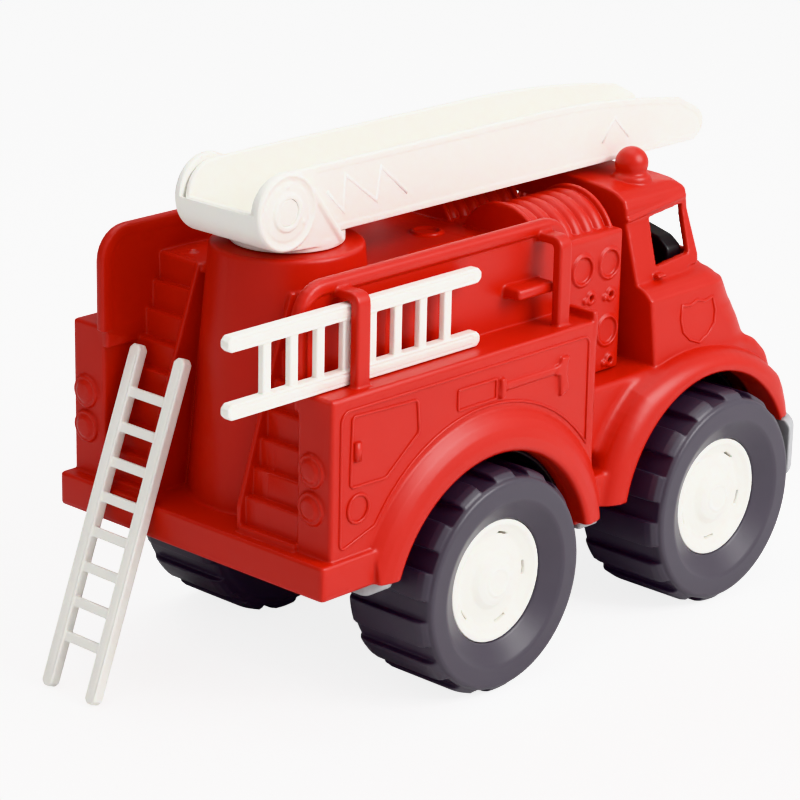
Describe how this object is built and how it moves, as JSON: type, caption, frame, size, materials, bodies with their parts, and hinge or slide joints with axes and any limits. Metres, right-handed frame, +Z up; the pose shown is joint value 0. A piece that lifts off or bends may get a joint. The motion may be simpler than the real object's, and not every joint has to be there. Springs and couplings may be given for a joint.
{
  "type": "toy fire engine",
  "caption": "Moulded plastic toy fire engine with big lugged tyres, a slewing and lifting boom, a ladder held in side brackets and a loose ladder.",
  "frame": {"origin": "point on the floor under the middle of the whole model's bounding box, ladders in their rest places", "axes": "+X towards the front bumper, +Y towards the left side, +Z up"},
  "size_m": [0.305, 0.15, 0.1926],
  "materials": {
    "red_plastic": "moulded, satin to glossy",
    "white_plastic": "moulded, satin",
    "grey_plastic": "moulded, satin",
    "black_plastic": "moulded, matt",
    "tyre_black": "moulded, satin"
  },
  "bodies": {
    "truck": {"rear_body": "red_plastic", "cab_shell": "red_plastic", "cab_interior": "black_plastic", "chassis_frame": "grey_plastic", "front_arch_liner": "black_plastic", "rear_arch_liner": "black_plastic", "front_axle": "grey_plastic", "rear_axle": "grey_plastic"},
    "wheel_front_right": {"tyre_front_right": "tyre_black", "hub_front_right": "white_plastic"},
    "wheel_front_left": {"tyre_front_left": "tyre_black", "hub_front_left": "white_plastic"},
    "wheel_rear_right": {"tyre_rear_right": "tyre_black", "hub_rear_right": "white_plastic"},
    "wheel_rear_left": {"tyre_rear_left": "tyre_black", "hub_rear_left": "white_plastic"},
    "turntable": {"turntable_yoke": "white_plastic"},
    "boom_arm": {"boom": "white_plastic"},
    "held_ladder": {"side_ladder": "white_plastic"},
    "free_ladder": {"loose_ladder": "white_plastic"}
  },
  "joints": [
    {"name": "front_right_wheel_spin", "type": "hinge", "parent": "truck", "child": "wheel_front_right", "pos_m": [0.09355, -0.0545, 0.0419], "axis": [0, 1, 0], "continuous": true},
    {"name": "front_left_wheel_spin", "type": "hinge", "parent": "truck", "child": "wheel_front_left", "pos_m": [0.09355, 0.0545, 0.0419], "axis": [0, 1, 0], "continuous": true},
    {"name": "rear_right_wheel_spin", "type": "hinge", "parent": "truck", "child": "wheel_rear_right", "pos_m": [-0.03275, -0.0545, 0.0419], "axis": [0, 1, 0], "continuous": true},
    {"name": "rear_left_wheel_spin", "type": "hinge", "parent": "truck", "child": "wheel_rear_left", "pos_m": [-0.03275, 0.0545, 0.0419], "axis": [0, 1, 0], "continuous": true},
    {"name": "turntable_slew", "type": "hinge", "parent": "truck", "child": "turntable", "pos_m": [-0.06985, 0, 0.1611], "axis": [0, 0, 1], "continuous": true},
    {"name": "boom_lift", "type": "hinge", "parent": "turntable", "child": "boom_arm", "pos_m": [-0.09015, 0, 0.1785], "axis": [0, -1, 0], "range_deg": [0, 70]},
    {"name": "side_ladder_slide", "type": "slide", "parent": "truck", "child": "held_ladder", "axis": [1, 0, 0], "range_m": [-0.05, 0.03]},
    {"name": "loose_ladder_away", "type": "slide", "parent": "truck", "child": "free_ladder", "axis": [-1, 0, 0], "range_m": [0, 0.15]}
  ]
}
